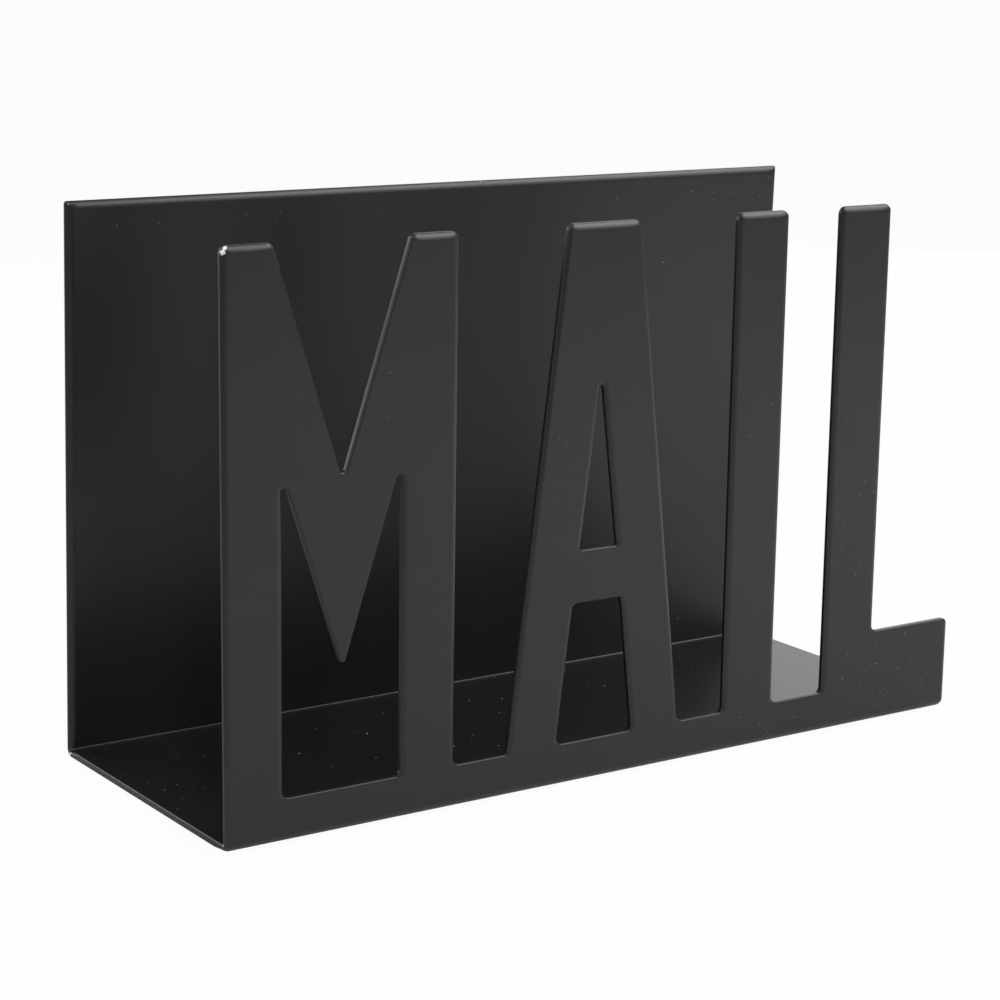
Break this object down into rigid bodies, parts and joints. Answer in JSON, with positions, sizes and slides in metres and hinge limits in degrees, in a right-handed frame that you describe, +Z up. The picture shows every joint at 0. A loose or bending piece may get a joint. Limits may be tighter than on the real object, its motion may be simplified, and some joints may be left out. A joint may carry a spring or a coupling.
{
  "type": "letter rack",
  "caption": "Folded sheet-metal letter rack: a plain back wall, a flat floor and a front wall cut into block letters, open at both ends, standing on rubber pads.",
  "frame": {"origin": "on the surface that the rack stands on, below the middle of the rack", "axes": "+X along the row of letters as it is read, +Y from the front wall to the back wall, +Z up"},
  "size_m": [0.25, 0.096, 0.1605],
  "materials": {
    "powder_coat": "satin black powder coat on steel",
    "pad_rubber": "matt black"
  },
  "bodies": {
    "root": {"folded_sheet": "powder_coat", "pad_front_left": "pad_rubber", "pad_front_right": "pad_rubber", "pad_back_left": "pad_rubber", "pad_back_right": "pad_rubber"}
  },
  "joints": []
}
